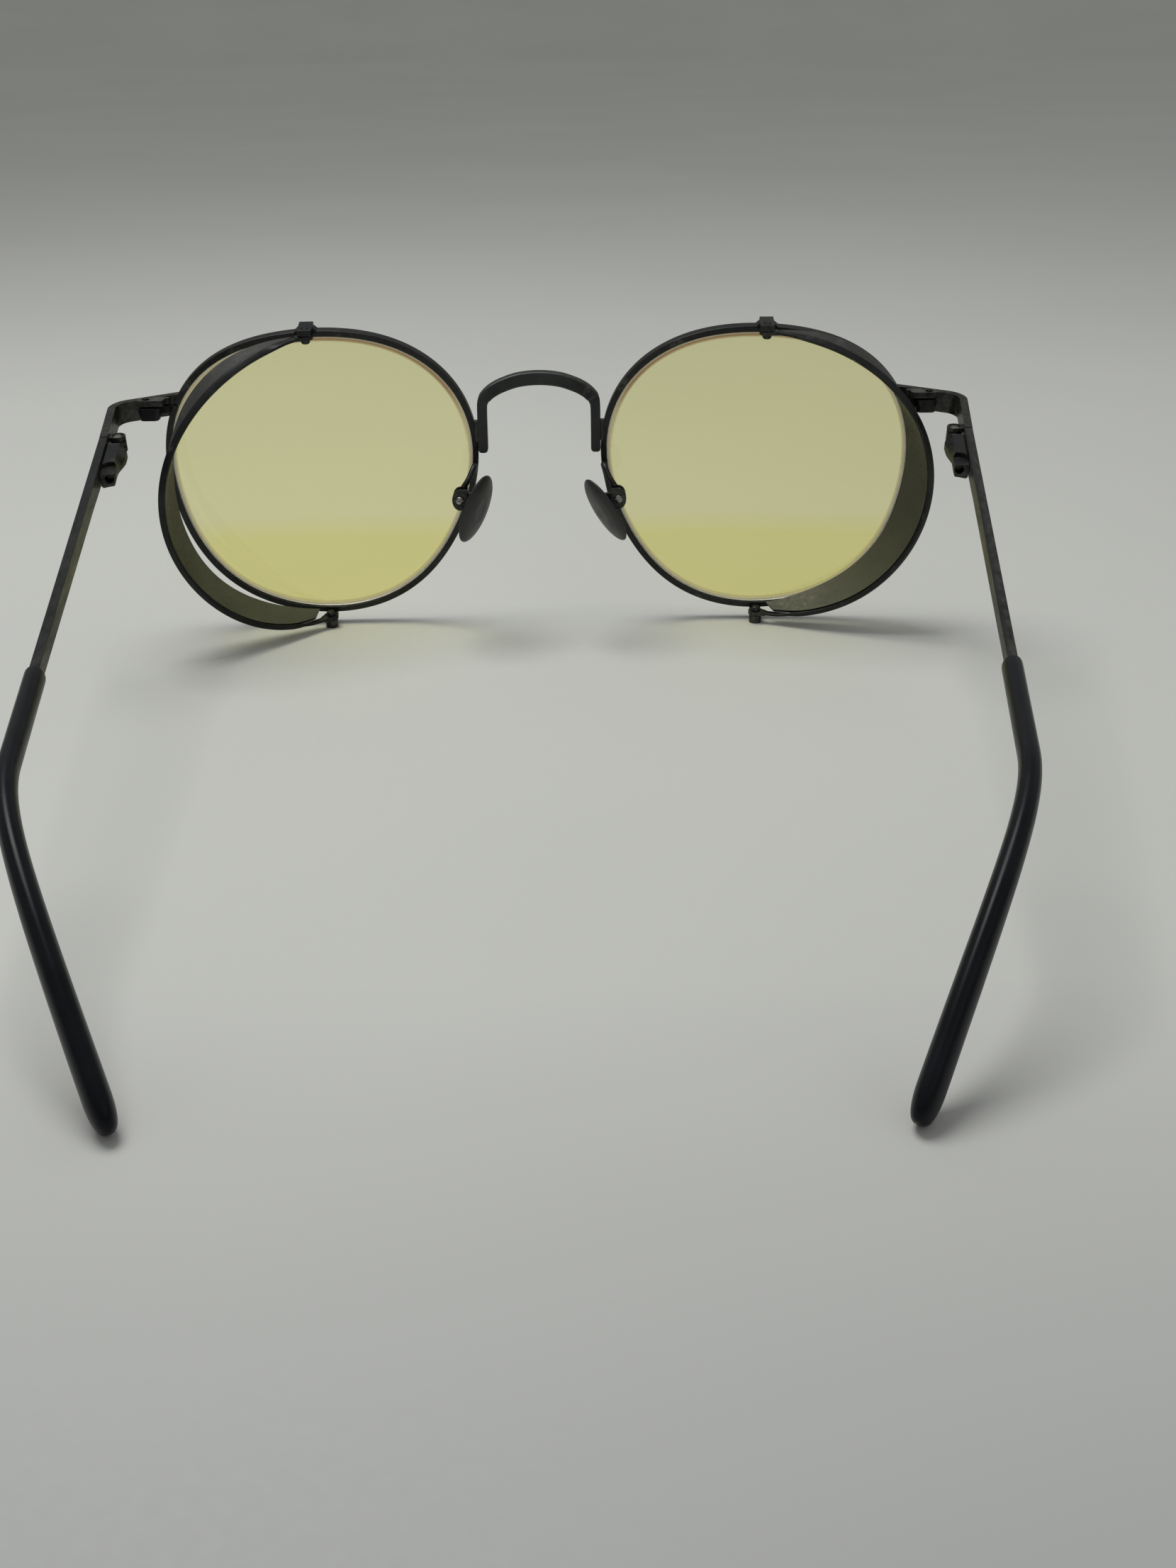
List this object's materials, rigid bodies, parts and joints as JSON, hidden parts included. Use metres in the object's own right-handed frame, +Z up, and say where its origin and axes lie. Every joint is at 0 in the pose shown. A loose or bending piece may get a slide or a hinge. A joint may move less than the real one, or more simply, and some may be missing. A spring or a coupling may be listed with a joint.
{
  "type": "computer glasses",
  "caption": "Round metal computer glasses with pale yellow lenses, hinged side shields, rocking nose pads and folding temples with dark curved tips, standing open.",
  "frame": {"origin": "middle of the whole object's box in X and Y, on the ground plane it stands on", "axes": "+Y is where the wearer looks, +X is the wearer's right, +Z is up"},
  "size_m": [0.1346, 0.1456, 0.051],
  "materials": {
    "frame": "matte dark gunmetal, rubbed lighter along the edges",
    "steel": "bright screw heads, plain steel",
    "lens": "clear pale yellow tint, deeper towards the bottom",
    "tip": "smooth glossy black",
    "pad": "dark satin",
    "shield": "scuffed matte olive brown"
  },
  "bodies": {
    "front": {"bridge": "frame", "left_closing_block_lower": "frame", "left_closing_block_upper": "frame", "left_closing_screw": "steel", "left_end_piece": "frame", "left_eyewire": "frame", "left_hinge_screw": "steel", "left_lens": "lens", "left_pad_arm": "frame", "left_pad_screw": "steel", "left_shield_foot": "frame", "left_shield_lug_top": "frame", "left_shield_screw_bottom": "steel", "left_shield_screw_top": "steel", "right_closing_block_lower": "frame", "right_closing_block_upper": "frame", "right_closing_screw": "steel", "right_end_piece": "frame", "right_eyewire": "frame", "right_hinge_screw": "steel", "right_lens": "lens", "right_pad_arm": "frame", "right_pad_screw": "steel", "right_shield_foot": "frame", "right_shield_lug_top": "frame", "right_shield_screw_bottom": "steel", "right_shield_screw_top": "steel"},
    "right_temple": {"right_temple_arm": "frame", "right_hinge_housing": "frame", "right_hinge_slider": "steel", "right_hinge_spring": "steel", "right_temple_tip": "tip"},
    "right_shield": {"right_shield_frame": "frame", "right_shield_panel": "shield"},
    "right_pad": {"right_nose_pad": "pad"},
    "left_temple": {"left_temple_arm": "frame", "left_hinge_housing": "frame", "left_hinge_slider": "steel", "left_hinge_spring": "steel", "left_temple_tip": "tip"},
    "left_shield": {"left_shield_frame": "frame", "left_shield_panel": "shield"},
    "left_pad": {"left_nose_pad": "pad"}
  },
  "joints": [
    {"name": "right_fold", "type": "hinge", "parent": "front", "child": "right_temple", "pos_m": [0.06331, 0.05242, 0.03564], "axis": [0, 0.1374, -0.9905], "range_deg": [0, 76]},
    {"name": "left_fold", "type": "hinge", "parent": "front", "child": "left_temple", "pos_m": [-0.06331, 0.05242, 0.03564], "axis": [0, -0.1374, 0.9905], "range_deg": [0, 44]},
    {"name": "right_shield_swing", "type": "hinge", "parent": "front", "child": "right_shield", "pos_m": [0.03575, 0.066, 0.02636], "axis": [0.0062, 0.1182, -0.993], "range_deg": [0, 10]},
    {"name": "left_shield_swing", "type": "hinge", "parent": "front", "child": "left_shield", "pos_m": [-0.03575, 0.066, 0.02636], "axis": [0.0062, -0.1182, 0.993], "range_deg": [-24, 0]},
    {"name": "right_pad_rock", "type": "hinge", "parent": "front", "child": "right_pad", "pos_m": [0.0126, 0.06068, 0.0242], "axis": [0, 1, 0], "range_deg": [-10, 10]},
    {"name": "left_pad_rock", "type": "hinge", "parent": "front", "child": "left_pad", "pos_m": [-0.0126, 0.06068, 0.0242], "axis": [0, 1, 0], "range_deg": [-10, 10]}
  ]
}
